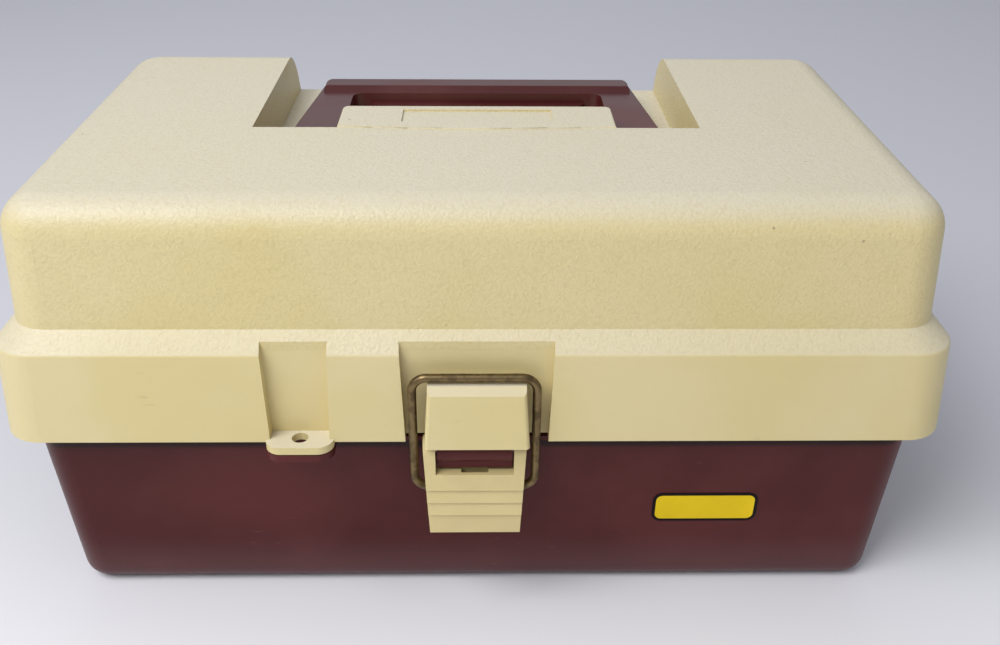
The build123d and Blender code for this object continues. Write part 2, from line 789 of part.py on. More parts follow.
# Trays with partitions, pivot bosses and loose dividers
fixed_walls = {
    "lower": {"front": (0.0,), "back": ()},
    "upper": {"front": (-cell_pitch, cell_pitch), "back": (0.0,)},
}
divider_places = {
    "lower": {"front": mirrored([cell_pitch, 2 * cell_pitch]), "back": ()},
    "upper": {"front": mirrored([2 * cell_pitch]), "back": mirrored([1.5 * cell_pitch])},
}
tray_bottoms = {"lower": lower_tray_bottom, "upper": upper_tray_bottom}
tray_halves = {"lower": tray_half_width, "upper": tray_half_width - upper_tray_inset}
tray_pivots = {
    name: [arm_point(pivot, arm_pitch * (1 + index)) for pivot in arm_pivots.values()]
    for index, name in enumerate(("lower", "upper"))
}
inner_front = tray_front + tray_wall
inner_back = tray_back - tray_wall
partition_height = tray_height - partition_drop


rows = {
    "front": (inner_front, tray_long_wall_y - partition / 2),
    "back": (tray_long_wall_y + partition / 2, inner_back),
}


def make_tray(name):
    """Open tray with fixed partitions and slots for loose dividers."""
    bottom = tray_bottoms[name]
    half = tray_halves[name]
    centre_y = (tray_front + tray_back) / 2
    depth = tray_back - tray_front
    with BuildPart() as tray:
        with BuildSketch(Plane.XY.offset(bottom)):
            with Locations((0, centre_y)):
                RectangleRounded(2 * half, depth, tray_corner)
        extrude(amount=tray_height)
        fillet(tray.edges().group_by(Axis.Z)[0], radius=tray_bottom_fillet)
        with BuildSketch(Plane.XY.offset(bottom + tray_wall)):
            with Locations((0, centre_y)):
                RectangleRounded(2 * (half - tray_wall), depth - 2 * tray_wall,
                                 tray_corner - tray_wall)
        extrude(amount=tray_height, mode=Mode.SUBTRACT)
        floor_top = bottom + tray_wall - 0.5
        wall_top = bottom + partition_height
        add(bench_box(
            (-half + 1, tray_long_wall_y - partition / 2, floor_top),
            (half - 1, tray_long_wall_y + partition / 2, wall_top),
        ))
        slot_half = divider_thickness / 2 + divider_clearance
        for row, (row_front, row_back) in rows.items():
            for x in fixed_walls[name][row]:
                add(bench_box((x - partition / 2, row_front - 0.5, floor_top),
                              (x + partition / 2, row_back + 0.5, wall_top)))
            for x in divider_places[name][row]:
                for start in (x - slot_half - guide_rib, x + slot_half):
                    add(bench_box((start, row_front - 0.5, floor_top),
                                  (start + guide_rib, row_front + guide_rib, wall_top)))
                    add(bench_box((start, row_back - guide_rib, floor_top),
                                  (start + guide_rib, row_back + 0.5, wall_top)))
        for y, z in tray_pivots[name]:
            for side in (1, -1):
                add(rod(arm_half_height, side * half, side * tray_outer, y, z))
                add(rod(pin_radius + running_clearance / 2, side * (tray_half_width + part_gap),
                        side * (tray_outer + 1), y, z), mode=Mode.SUBTRACT)
    return tray.part


def make_dividers(name):
    """Loose dividers that slide into a tray's slots."""
    bottom = tray_bottoms[name] + tray_wall + divider_clearance
    top = tray_bottoms[name] + partition_height
    half = divider_thickness / 2
    return joined([
        bench_box((x - half, row_front + divider_clearance, bottom),
                  (x + half, row_back - divider_clearance, top))
        for row, (row_front, row_back) in rows.items()
        for x in divider_places[name][row]
    ])


def arm_rivets(points, tail_x, head_x):
    """Rivets on both sides of the box at the given points."""
    return joined([
        rivet(side * head_x, side * tail_x, y, z) for y, z in points for side in (1, -1)
    ])


pieces = {
    "base": base.part,
    "base_padlock_tab": base_padlock_tab.part,
    "base_arm_bosses": base_arm_bosses.part,
    "lid": lid.part,
    "lid_padlock_tab": lid_padlock_tab.part,
    "handle": handle.part,
    "latch_lever": latch_lever.part.moved(Location((latch_offset, 0, 0))),
    "latch_bail": latch_bail.part.moved(Location((latch_offset, 0, 0))),
    "hinge_pins": hinge_pins,
    "latch_pin": latch_pin,
}
for side, side_name in ((1, "right"), (-1, "left")):
    for place, pivot in arm_pivots.items():
        pieces[f"{place}_arm_{side_name}"] = make_arm(pivot, side, place == "rear")
    pieces[f"lid_link_{side_name}"] = make_link(side)
    pieces[f"link_rivet_{side_name}"] = rivet(
        side * (link_outer_x + arm_side_gap + rivet_head), side * arm_inner_x, *link_foot)
for name in ("lower", "upper"):
    pieces[f"{name}_tray"] = make_tray(name)
    pieces[f"{name}_tray_dividers"] = make_dividers(name)
    pieces[f"{name}_tray_rivets"] = arm_rivets(
        tray_pivots[name], tray_half_width + 2 * part_gap,
        arm_outer_x + arm_side_gap + rivet_head - part_gap / 2)
pieces["base_arm_rivets"] = arm_rivets(
    arm_pivots.values(),
    base_half_width(arm_base_z - front_arm_drop) - base_wall / 2 - 1 - part_gap,
    arm_inner_x - rivet_head)
pieces["lid_link_pins"] = arm_rivets(
    [link_head], lid_half_width(link_head[1]) - lid_wall / 2 - 1 - part_gap,
    link_inner_x - part_gap / 2 - rivet_head)

for name, piece in pieces.items():
    piece.label = name
    export_step(piece, f"parts/{name}.step")
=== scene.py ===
"""Looks of the tackle box: finishes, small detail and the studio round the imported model."""
import math

import bpy
from bpy.props import FloatProperty, FloatVectorProperty, PointerProperty
from bpy.types import Operator, Panel, PropertyGroup
from mathutils import Matrix, Vector


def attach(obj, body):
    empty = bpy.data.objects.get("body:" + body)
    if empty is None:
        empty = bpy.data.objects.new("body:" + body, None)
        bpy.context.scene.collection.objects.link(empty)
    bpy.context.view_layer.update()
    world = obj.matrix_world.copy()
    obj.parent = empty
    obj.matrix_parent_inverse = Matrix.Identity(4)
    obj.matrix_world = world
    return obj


bl_info = {
    "name": "Tackle Box Looks",
    "version": (1, 0, 0),
    "blender": (4, 5, 0),
    "location": "3D View > Sidebar > Tackle Box",
    "description": "Finishes, detail and studio of a moulded tackle box",
    "category": "Object",
}

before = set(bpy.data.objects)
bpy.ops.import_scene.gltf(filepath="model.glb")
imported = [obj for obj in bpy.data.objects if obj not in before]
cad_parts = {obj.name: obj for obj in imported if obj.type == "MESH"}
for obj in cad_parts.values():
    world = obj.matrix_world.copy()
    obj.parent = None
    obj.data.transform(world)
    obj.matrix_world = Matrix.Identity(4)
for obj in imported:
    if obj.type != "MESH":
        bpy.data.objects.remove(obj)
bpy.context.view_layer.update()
MM = 0.001


# Settings that a user may change

class TackleBoxColours(PropertyGroup):
    """Colours of the box's materials."""

    cream: FloatVectorProperty(
        name="Cream plastic", description="Colour of the lid and its hood",
        subtype="COLOR", default=(0.68, 0.58, 0.31), min=0, max=1)
    lever: FloatVectorProperty(
        name="Lever plastic", description="Colour of the latch lever, a little yellower",
        subtype="COLOR", default=(0.66, 0.54, 0.26), min=0, max=1)
    maroon: FloatVectorProperty(
        name="Maroon plastic", description="Colour of the base and the handle",
        subtype="COLOR", default=(0.066, 0.0095, 0.009), min=0, max=1)
    tray: FloatVectorProperty(
        name="Tray plastic", description="Colour of the trays and dividers",
        subtype="COLOR", default=(0.62, 0.55, 0.36), min=0, max=1)
    wire: FloatVectorProperty(
        name="Wire", description="Colour of the aged bail",
        subtype="COLOR", default=(0.20, 0.145, 0.07), min=0, max=1)
    steel: FloatVectorProperty(
        name="Steel", description="Colour of the plated arms and pins",
        subtype="COLOR", default=(0.55, 0.55, 0.53), min=0, max=1)
    label: FloatVectorProperty(
        name="Blank label", description="Colour of the blank label on the base",
        subtype="COLOR", default=(0.88, 0.62, 0.006), min=0, max=1)


class TackleBoxSizes(PropertyGroup):
    """Sizes of the finishes and of the added detail."""

    grain_size: FloatProperty(
        name="Grain size", description="Width of one pebble of the lid's leather grain",
        subtype="DISTANCE", unit="LENGTH", default=1.3 * MM)
    grain_depth: FloatProperty(
        name="Grain depth", description="Depth of the leather grain",
        subtype="DISTANCE", unit="LENGTH", default=0.26 * MM)
    label_width: FloatProperty(
        name="Label width", description="Width of the blank label",
        subtype="DISTANCE", unit="LENGTH", default=43 * MM)
    label_height: FloatProperty(
        name="Label height", description="Height of the blank label",
        subtype="DISTANCE", unit="LENGTH", default=15 * MM)


class TackleBoxStudio(PropertyGroup):
    """Camera and light of the studio."""

    lens: FloatProperty(
        name="Lens", description="Focal length for a sensor 36 mm wide",
        subtype="DISTANCE_CAMERA", default=38.19)
    key_power: FloatProperty(
        name="Key light", description="Power of the large soft light",
        subtype="POWER", default=15.0)
    fill_power: FloatProperty(
        name="Fill light", description="Power of the soft light from the front",
        subtype="POWER", default=0.9)
    back_power: FloatProperty(
        name="Back light", description="Power of the pale light behind the box",
        subtype="POWER", default=2.6)
    world_strength: FloatProperty(
        name="Surround", description="Strength of the pale surround",
        default=0.43, min=0)


# Shared shader effects

GRAIN_WARP = 0.0011
PEBBLE_DEPTH = -0.55

# Noise values between which an effect sets in
SOILED = (0.38, 0.68)
SCRATCH_LINES = (0.66, 0.74)
SCRATCH_PATCHES = (0.56, 0.68)
SPECK_EDGE = (0.028, 0.06)
SPECK_CHOICE = (0.90, 0.92)


def new_group(name, inputs, outputs):
    """Node group with its sockets, and nodes named Inputs and Outputs."""
    group = bpy.data.node_groups.new(name, "ShaderNodeTree")
    for socket, kind, value in inputs:
        item = group.interface.new_socket(name=socket, in_out="INPUT", socket_type=kind)
        if value is not None:
            item.default_value = value
    for socket, kind in outputs:
        group.interface.new_socket(name=socket, in_out="OUTPUT", socket_type=kind)
    group.nodes.new("NodeGroupInput").name = "Inputs"
    group.nodes.new("NodeGroupOutput").name = "Outputs"
    return group


def add_node(tree, kind, **settings):
    """Node with its settings and the values of its inputs."""
    node = tree.nodes.new(kind)
    values = settings.pop("inputs", {})
    for key, value in settings.items():
        setattr(node, key, value)
    for key, value in values.items():
        node.inputs[key].default_value = value
    return node


def math_node(tree, operation, first, second=None):
    """Math node whose inputs are sockets or numbers."""
    node = add_node(tree, "ShaderNodeMath", operation=operation)
    for index, value in enumerate((first, second)):
        if value is None:
            continue
        if isinstance(value, (int, float)):
            node.inputs[index].default_value = value
        else:
            tree.links.new(value, node.inputs[index])
    return node.outputs[0]


def ramp(tree, value, low, high, out_low=0.0, out_high=1.0):
    """Smooth remap of a value between two limits."""
    node = add_node(tree, "ShaderNodeMapRange", interpolation_type="SMOOTHSTEP", clamp=True,
                    inputs={"From Min": low, "From Max": high,
                            "To Min": out_low, "To Max": out_high})
    tree.links.new(value, node.inputs["Value"])
    return node.outputs["Result"]


def axes(tree, vector):
    """The three coordinates of a vector, as outputs named X, Y and Z."""
    split = add_node(tree, "ShaderNodeSeparateXYZ")
    tree.links.new(vector, split.inputs[0])
    return split.outputs


def mixed(tree, factor, first, second):
    """Colour mixed from two sockets or two colours."""
    node = add_node(tree, "ShaderNodeMix", data_type="RGBA")
    for key, value in (("Factor", factor), ("A", first), ("B", second)):
        socket = next(s for s in node.inputs if s.name == key and s.type in ("VALUE", "RGBA")
                      and (key == "Factor") == (s.type == "VALUE"))
        if isinstance(value, bpy.types.NodeSocket):
            tree.links.new(value, socket)
        elif key == "Factor":
            socket.default_value = value
        else:
            socket.default_value = (*value[:3], 1)
    return next(s for s in node.outputs if s.type == "RGBA")


def grain_group():
    """Leather grain: small soft pebbles with creases between them."""
    group = new_group(
        "Leather grain",
        [("Vector", "NodeSocketVector", None), ("Size", "NodeSocketFloat", 1.3 * MM)],
        [("Height", "NodeSocketFloat")])
    start, end = group.nodes["Inputs"], group.nodes["Outputs"]
    scale = math_node(group, "DIVIDE", 1.0, start.outputs["Size"])
    warp = add_node(group, "ShaderNodeTexNoise", inputs={"Scale": 420.0, "Detail": 2.0})
    group.links.new(start.outputs["Vector"], warp.inputs["Vector"])
    shift = add_node(group, "ShaderNodeVectorMath", operation="MULTIPLY_ADD",
                     inputs={1: (GRAIN_WARP, GRAIN_WARP, GRAIN_WARP)})
    group.links.new(warp.outputs["Color"], shift.inputs[0])
    group.links.new(start.outputs["Vector"], shift.inputs[2])
    cells = add_node(group, "ShaderNodeTexVoronoi", feature="SMOOTH_F1",
                     inputs={"Smoothness": 0.6, "Randomness": 1.0})
    group.links.new(shift.outputs[0], cells.inputs["Vector"])
    group.links.new(scale, cells.inputs["Scale"])
    folds = add_node(group, "ShaderNodeTexNoise",
                     inputs={"Scale": 620.0, "Detail": 3.0, "Distortion": 1.2})
    group.links.new(start.outputs["Vector"], folds.inputs["Vector"])
    pebbles = math_node(group, "MULTIPLY", cells.outputs["Distance"], PEBBLE_DEPTH)
    height = math_node(group, "ADD", pebbles, folds.outputs["Fac"])
    group.links.new(height, end.inputs["Height"])
    return group


def wear_group():
    """Handling marks: broad soiling, fine scratches and sparse dark specks."""
    group = new_group(
        "Handling marks",
        [("Vector", "NodeSocketVector", None)],
        [("Soiling", "NodeSocketFloat"), ("Scratches", "NodeSocketFloat"),
         ("Specks", "NodeSocketFloat")])
    start, end = group.nodes["Inputs"], group.nodes["Outputs"]
    broad = add_node(group, "ShaderNodeTexNoise", inputs={"Scale": 16.0, "Detail": 5.0})
    group.links.new(start.outputs["Vector"], broad.inputs["Vector"])
    group.links.new(ramp(group, broad.outputs["Fac"], *SOILED), end.inputs["Soiling"])
    stretch = add_node(group, "ShaderNodeMapping",
                       inputs={"Rotation": (0.3, 0.5, 0.7), "Scale": (110.0, 1500.0, 420.0)})
    group.links.new(start.outputs["Vector"], stretch.inputs["Vector"])
    lines = add_node(group, "ShaderNodeTexNoise", inputs={"Scale": 1.0, "Detail": 2.0})
    group.links.new(stretch.outputs[0], lines.inputs["Vector"])
    patches = add_node(group, "ShaderNodeTexNoise", inputs={"Scale": 38.0, "Detail": 2.0})
    group.links.new(start.outputs["Vector"], patches.inputs["Vector"])
    line_mask = ramp(group, lines.outputs["Fac"], *SCRATCH_LINES)
    patch_mask = ramp(group, patches.outputs["Fac"], *SCRATCH_PATCHES)
    group.links.new(math_node(group, "MULTIPLY", line_mask, patch_mask), end.inputs["Scratches"])
    dots = add_node(group, "ShaderNodeTexVoronoi", inputs={"Scale": 95.0})
    group.links.new(start.outputs["Vector"], dots.inputs["Vector"])
    near = ramp(group, dots.outputs["Distance"], *SPECK_EDGE, 1.0, 0.0)
    pick = add_node(group, "ShaderNodeSeparateColor")
    group.links.new(dots.outputs["Color"], pick.inputs[0])
    chosen = ramp(group, pick.outputs[0], *SPECK_CHOICE)
    group.links.new(math_node(group, "MULTIPLY", near, chosen), end.inputs["Specks"])
    return group


def effect(tree, name, vector):
    """A shared effect placed in a material, fed with coordinates."""
    makers = {"Leather grain": grain_group, "Handling marks": wear_group}
    group = bpy.data.node_groups.get(name) or makers[name]()
    node = add_node(tree, "ShaderNodeGroup", node_tree=group)
    tree.links.new(vector, node.inputs["Vector"])
    return node


# Materials

# Cream plastic: factors on its colour, marks, painted sheen on upward faces and painted shade in
# creases, and their amounts
WARM = (0.97, 0.95, 0.86)
SHEEN_TINT = (0.99, 1.08, 1.62)
CREASE_SHADE = (0.62, 0.56, 0.42)
SHEEN_FROM, SHEEN_TO, TOP_SHEEN = 0.25, 1.0, 0.8
GRAIN_EDGE = 0.4 * MM
CREASE_SHADE_HEIGHTS = (-0.05, 0.35)
CREASE_SHADE_AMOUNT = 0.14
CREAM_SCUFF, CREAM_SCUFF_AMOUNT = (0.38, 0.32, 0.19), 0.30
CREAM_SPECK, CREAM_SPECK_AMOUNT = (0.12, 0.09, 0.05), 0.55
CREAM_ROUGHNESS = (0.40, 0.50)
SMOOTH_RELIEF = 0.16

# Maroon plastic
WORN_GAIN, WORN_LIFT = 1.35, 0.006
MAROON_SCUFF, MAROON_SCUFF_AMOUNT = (0.25, 0.15, 0.15), 0.14
MAROON_ROUGHNESS = (0.34, 0.44)
MAROON_RELIEF = 0.03 * MM

# Painted shadow under the lid's skirt and painted floor reflection low on the base: where its
# walls face out, by distance from the middle along X and along Y, then the latch boss's front,
# the heights and the colours
SIDE_WALL = (170.2 * MM, 170.8 * MM)
END_WALL = (96.4 * MM, 97.0 * MM)
BOSS_FRONT = (-99.6 * MM, -99.2 * MM)
SKIRT_SHADOW_RISE = 2.8 * MM
SKIRT_SHADOW_FALL = (6.4 * MM, 7.4 * MM)
SKIRT_SHADOW_AMOUNT = 0.88
SKIRT_SHADOW = (0.012, 0.004, 0.004)
FLOOR_REFLECTION_HEIGHTS = (4 * MM, 30 * MM)
FLOOR_REFLECTION_AMOUNT = 0.3
FLOOR_REFLECTION = (0.17, 0.11, 0.115)

# Plain plastic and metal
PLAIN_SOILING = 0.82
PLAIN_ROUGHER = 0.12
PLAIN_RELIEF = 0.02 * MM
TARNISHED = (0.42, 0.62)
METAL_ROUGH_FROM = (0.35, 0.65)
METAL_ROUGHER = 0.22
METAL_RELIEF = 0.03 * MM


def tinted(colour, factors):
    """The colour with a factor on each channel."""
    return tuple(channel * factor for channel, factor in zip(colour, factors))


def start_material(name):
    """Empty material with its shader, and the object's own coordinates."""
    material = bpy.data.materials.new(name)
    material.use_nodes = True
    tree = material.node_tree
    shader = tree.nodes["Principled BSDF"]
    place = add_node(tree, "ShaderNodeTexCoord").outputs["Object"]
    return material, tree, shader, place


def bumped(tree, shader, height, strength, distance):
    """Height fed to the shader's normal."""
    bump = add_node(tree, "ShaderNodeBump", inputs={"Strength": strength, "Distance": distance})
    tree.links.new(height, bump.inputs["Height"])
    tree.links.new(bump.outputs["Normal"], shader.inputs["Normal"])


def cream_material(name, colours, sizes, grained_from):
    """Cream moulding: grained above a height, smoother below it, with painted sheen where it
    faces up and painted shade in the grain's creases.
    """
    material, tree, shader, place = start_material(name)
    marks = effect(tree, "Handling marks", place)
    grain = effect(tree, "Leather grain", place)
    grain.inputs["Size"].default_value = sizes.grain_size
    height = axes(tree, place)["Z"]
    grained = ramp(tree, height, grained_from - GRAIN_EDGE, grained_from + GRAIN_EDGE)
    cream = tuple(colours.cream)
    tone = mixed(tree, marks.outputs["Soiling"], cream, tinted(cream, WARM))
    upward = axes(tree, place.node.outputs["Normal"])["Z"]
    # Painted sheen: faces that turn up are mixed towards a paler, bluer tint, standing in for
    # the reflection of the pale surround
    top_sheen = ramp(tree, upward, SHEEN_FROM, SHEEN_TO, 0.0, TOP_SHEEN)
    tone = mixed(tree, top_sheen, tone, tinted(cream, SHEEN_TINT))
    # Painted shade: the low creases between the grain's pebbles are darkened
    crease_shade = ramp(tree, grain.outputs["Height"], *CREASE_SHADE_HEIGHTS, CREASE_SHADE_AMOUNT, 0.0)
    crease_shade = math_node(tree, "MULTIPLY", crease_shade, grained)
    tone = mixed(tree, crease_shade, tone, tinted(cream, CREASE_SHADE))
    scuff = math_node(tree, "MULTIPLY", marks.outputs["Scratches"], CREAM_SCUFF_AMOUNT)
    tone = mixed(tree, scuff, tone, CREAM_SCUFF)
    speck = math_node(tree, "MULTIPLY", marks.outputs["Specks"], CREAM_SPECK_AMOUNT)
    tone = mixed(tree, speck, tone, CREAM_SPECK)
    tree.links.new(tone, shader.inputs["Base Color"])
    rough = ramp(tree, marks.outputs["Soiling"], 0.0, 1.0, *CREAM_ROUGHNESS)
    tree.links.new(rough, shader.inputs["Roughness"])
    soft = add_node(tree, "ShaderNodeTexNoise", inputs={"Scale": 700.0, "Detail": 3.0})
    tree.links.new(place, soft.inputs["Vector"])
    smooth_part = math_node(tree, "MULTIPLY", soft.outputs["Fac"], SMOOTH_RELIEF)
    grain_part = math_node(tree, "MULTIPLY", grain.outputs["Height"], grained)
    relief = math_node(tree, "ADD", smooth_part, grain_part)
    bumped(tree, shader, relief, 0.75, sizes.grain_depth)
    shader.inputs["Specular IOR Level"].default_value = 0.42
    shader.inputs["Subsurface Weight"].default_value = 0.04
    shader.inputs["Subsurface Radius"].default_value = (0.004, 0.003, 0.0015)
    return material


def skirt_shadow_line(tree, spot, low):
    """Mask of the painted shadow line under the lid's skirt, on the outside of the walls, from a
    height to the flange.
    """
    across = math_node(tree, "ABSOLUTE", spot["X"])
    along = math_node(tree, "ABSOLUTE", spot["Y"])
    outside = math_node(tree, "MAXIMUM", ramp(tree, across, *SIDE_WALL),
                        ramp(tree, along, *END_WALL))
    off_boss = ramp(tree, spot["Y"], *BOSS_FRONT)
    rise = ramp(tree, spot["Z"], low, low + SKIRT_SHADOW_RISE, 0.0, SKIRT_SHADOW_AMOUNT)
    fall = ramp(tree, spot["Z"], low + SKIRT_SHADOW_FALL[0], low + SKIRT_SHADOW_FALL[1], 1.0, 0.0)
    walls = math_node(tree, "MULTIPLY", outside, off_boss)
    return math_node(tree, "MULTIPLY", walls, math_node(tree, "MULTIPLY", rise, fall))


def maroon_material(name, colours, specular, shadow_from=None):
    """Maroon moulding: satin, mottled, with pale rubs; the base also has a painted shadow under
    the lid's skirt and a painted floor reflection low on its walls.
    """
    material, tree, shader, place = start_material(name)
    marks = effect(tree, "Handling marks", place)
    maroon = tuple(colours.maroon)
    worn = tuple(channel * WORN_GAIN + WORN_LIFT for channel in maroon)
    tone = mixed(tree, marks.outputs["Soiling"], maroon, worn)
    scuff = math_node(tree, "MULTIPLY", marks.outputs["Scratches"], MAROON_SCUFF_AMOUNT)
    tone = mixed(tree, scuff, tone, MAROON_SCUFF)
    if shadow_from is not None:
        spot = axes(tree, place)
        # Painted shadow: a dark line on the outer walls just under the lid's skirt
        tone = mixed(tree, skirt_shadow_line(tree, spot, shadow_from), tone, SKIRT_SHADOW)
        # Painted reflection: the lowest part of the walls is mixed towards a greyer tone,
        # standing in for the floor's reflection
        floor_reflection = ramp(tree, spot["Z"], *FLOOR_REFLECTION_HEIGHTS, FLOOR_REFLECTION_AMOUNT, 0.0)
        tone = mixed(tree, floor_reflection, tone, FLOOR_REFLECTION)
    tree.links.new(tone, shader.inputs["Base Color"])
    rough = ramp(tree, marks.outputs["Soiling"], 0.0, 1.0, *MAROON_ROUGHNESS)
    tree.links.new(rough, shader.inputs["Roughness"])
    fine = add_node(tree, "ShaderNodeTexNoise", inputs={"Scale": 1100.0, "Detail": 3.0})
    tree.links.new(place, fine.inputs["Vector"])
    bumped(tree, shader, fine.outputs["Fac"], 0.35, MAROON_RELIEF)
    shader.inputs["Specular IOR Level"].default_value = specular
    return material


def plain_plastic(name, colour, roughness, specular=0.5):
    """Smooth moulded plastic with slight soiling."""
    material, tree, shader, place = start_material(name)
    marks = effect(tree, "Handling marks", place)
    darker = tuple(channel * PLAIN_SOILING for channel in colour)
    tone = mixed(tree, marks.outputs["Soiling"], tuple(colour), darker)
    tree.links.new(tone, shader.inputs["Base Color"])
    rough = ramp(tree, marks.outputs["Soiling"], 0.0, 1.0,
                 roughness, roughness + PLAIN_ROUGHER)
    tree.links.new(rough, shader.inputs["Roughness"])
    fine = add_node(tree, "ShaderNodeTexNoise", inputs={"Scale": 800.0, "Detail": 2.0})
    tree.links.new(place, fine.inputs["Vector"])
    bumped(tree, shader, fine.outputs["Fac"], 0.3, PLAIN_RELIEF)
    shader.inputs["Specular IOR Level"].default_value = specular
    return material


def metal_material(name, colour, tarnish, roughness):
    """Drawn or plated metal with tarnish in patches."""
    material, tree, shader, place = start_material(name)
    marks = effect(tree, "Handling marks", place)
    fine = add_node(tree, "ShaderNodeTexNoise", inputs={"Scale": 260.0, "Detail": 6.0})
    tree.links.new(place, fine.inputs["Vector"])
    patch = ramp(tree, fine.outputs["Fac"], *TARNISHED)
    tone = mixed(tree, patch, tuple(colour), tarnish)
    tree.links.new(tone, shader.inputs["Base Color"])
    rough = ramp(tree, fine.outputs["Fac"], *METAL_ROUGH_FROM,
                 roughness, roughness + METAL_ROUGHER)
    tree.links.new(rough, shader.inputs["Roughness"])
    shader.inputs["Metallic"].default_value = 1.0
    height = math_node(tree, "ADD", fine.outputs["Fac"], marks.outputs["Scratches"])
    bumped(tree, shader, height, 0.4, METAL_RELIEF)
    return material


def dress(node_names, material):
    """The material on carried-over nodes."""
    for name in node_names:
        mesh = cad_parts[name].data
        mesh.materials.clear()
        mesh.materials.append(material)


def settings():
    """The scene's colours, sizes and studio settings."""
    scene = bpy.context.scene
    return scene.tackle_colours, scene.tackle_sizes, scene.tackle_studio


# Pieces

LEDGE_CREASE = 120.6 * MM
# Height where the base's painted shadow under the lid's skirt begins
SKIRT_SHADOW_FROM = 72.8 * MM
BRASS_TARNISH = (0.12, 0.085, 0.045)
STRIP_TARNISH = (0.38, 0.37, 0.34)
PIN_TARNISH = (0.42, 0.41, 0.39)
INK_BLACK = (0.010, 0.007, 0.007)
LABEL_CENTRE = (93 * MM, 42 * MM)
LABEL_LIFT = 0.25 * MM
LABEL_RIM = 1.3 * MM
LABEL_CORNER = 4.0 * MM
LABEL_THICKNESS = LABEL_LIFT * 0.9
BASE_TOP_FRONT = -98.2 * MM
BASE_DRAFT = 0.054
BASE_TOP = 79.2 * MM


class TACKLEBOX_OT_lid(Operator):
    """Finish the grained lid"""

    bl_idname = "tacklebox.lid"
    bl_label = "Lid"

    def execute(self, context):
        colours, sizes, _ = settings()
        dress(["lid", "lid_padlock_tab"],
              cream_material("Cream grained plastic", colours, sizes, LEDGE_CREASE))
        return {"FINISHED"}


class TACKLEBOX_OT_base(Operator):
    """Finish the maroon base"""

    bl_idname = "tacklebox.base"
    bl_label = "Base"

    def execute(self, context):
        colours, _, _ = settings()
        dress(["base", "base_padlock_tab", "base_arm_bosses"],
              maroon_material("Maroon plastic", colours, 0.2, SKIRT_SHADOW_FROM))
        return {"FINISHED"}


class TACKLEBOX_OT_handle(Operator):
    """Finish the folding handle"""

    bl_idname = "tacklebox.handle"
    bl_label = "Handle"

    def execute(self, context):
        colours, _, _ = settings()
        dress(["handle"], maroon_material("Maroon handle plastic", colours, 0.5))
        return {"FINISHED"}


class TACKLEBOX_OT_latch(Operator):
    """Finish the lever and the wire bail"""

    bl_idname = "tacklebox.latch"
    bl_label = "Latch"

    def execute(self, context):
        colours, _, _ = settings()
        dress(["latch_lever"], plain_plastic("Cream lever plastic", colours.lever, 0.40))
        dress(["latch_bail"],
              metal_material("Aged brass wire", colours.wire, BRASS_TARNISH, 0.30))
        return {"FINISHED"}


class TACKLEBOX_OT_trays(Operator):
    """Finish the trays and their dividers"""

    bl_idname = "tacklebox.trays"
    bl_label = "Trays"

    def execute(self, context):
        colours, _, _ = settings()
        dress(["lower_tray", "upper_tray"], plain_plastic("Tray plastic", colours.tray, 0.36))
        dress(["lower_tray_dividers", "upper_tray_dividers"],
              plain_plastic("Divider plastic", colours.tray, 0.42))
        return {"FINISHED"}


class TACKLEBOX_OT_steelwork(Operator):
    """Finish the arms, links, rivets and pins"""

    bl_idname = "tacklebox.steelwork"
    bl_label = "Steelwork"

    def execute(self, context):
        colours, _, _ = settings()
        round_pieces = [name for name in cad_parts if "rivet" in name or "pin" in name]
        flat = [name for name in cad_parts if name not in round_pieces
                and name.startswith(("rear_arm_", "front_arm_", "lid_link_"))]
        dress(flat, metal_material("Plated steel strip", colours.steel, STRIP_TARNISH, 0.32))
        dress(round_pieces, metal_material("Steel pin", colours.steel, PIN_TARNISH, 0.25))
        return {"FINISHED"}


class TACKLEBOX_OT_blank_label(Operator):
    """Add the blank label on the front of the base"""

    bl_idname = "tacklebox.blank_label"
    bl_label = "Blank label"

    def execute(self, context):
        colours, sizes, _ = settings()
        x, z = LABEL_CENTRE
        y = BASE_TOP_FRONT + BASE_DRAFT * (BASE_TOP - z) - LABEL_LIFT
        bpy.ops.object.select_all(action="DESELECT")
        bpy.ops.mesh.primitive_plane_add(
            size=1.0, location=(x, y, z), rotation=(math.radians(90) + BASE_DRAFT, 0, 0))
        label = bpy.context.object
        label.name = "blank_label"
        label.scale = (sizes.label_width, sizes.label_height, 1)
        bpy.ops.object.transform_apply(location=True, rotation=True, scale=True)
        bpy.ops.object.mode_set(mode="EDIT")
        bpy.ops.mesh.select_all(action="SELECT")
        bpy.ops.mesh.bevel(offset=LABEL_CORNER, segments=8, affect="VERTICES")
        bpy.ops.mesh.select_all(action="SELECT")
        bpy.ops.mesh.inset(thickness=LABEL_RIM)
        bpy.ops.object.mode_set(mode="OBJECT")
        inks = (plain_plastic("Label rim ink", INK_BLACK, 0.5, 0.1),
                plain_plastic("Label face ink", colours.label, 0.4, 0.2))
        for ink in inks:
            label.data.materials.append(ink)
        # The rim is made of quads, and the face inside it has many corners
        for face in label.data.polygons:
            face.material_index = 1 if len(face.vertices) > 4 else 0
        thick = label.modifiers.new("Thickness", "SOLIDIFY")
        thick.thickness = LABEL_THICKNESS
        thick.offset = -1
        bpy.ops.object.modifier_apply(modifier=thick.name)
        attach(label, "base")
        return {"FINISHED"}


# Studio

FLOOR_SIZE = 6.0
FLOOR_PALE = (0.88, 0.87, 0.89)
FLOOR_PALER = (0.93, 0.92, 0.94)
FLOOR_BEHIND = (0.64, 0.645, 0.70)
BEHIND_FROM, BEHIND_TO = -0.24, 0.06
SURROUND = (0.86, 0.88, 0.95, 1)
SENSOR_WIDTH = 36.0
CAMERA_PLACE = Vector((0.00085, -0.43353, 0.32328))
CAMERA_RIGHT = Vector((0.9998, -0.0173, 0.0091))
CAMERA_UP = Vector((0.0008, 0.4989, 0.8667))


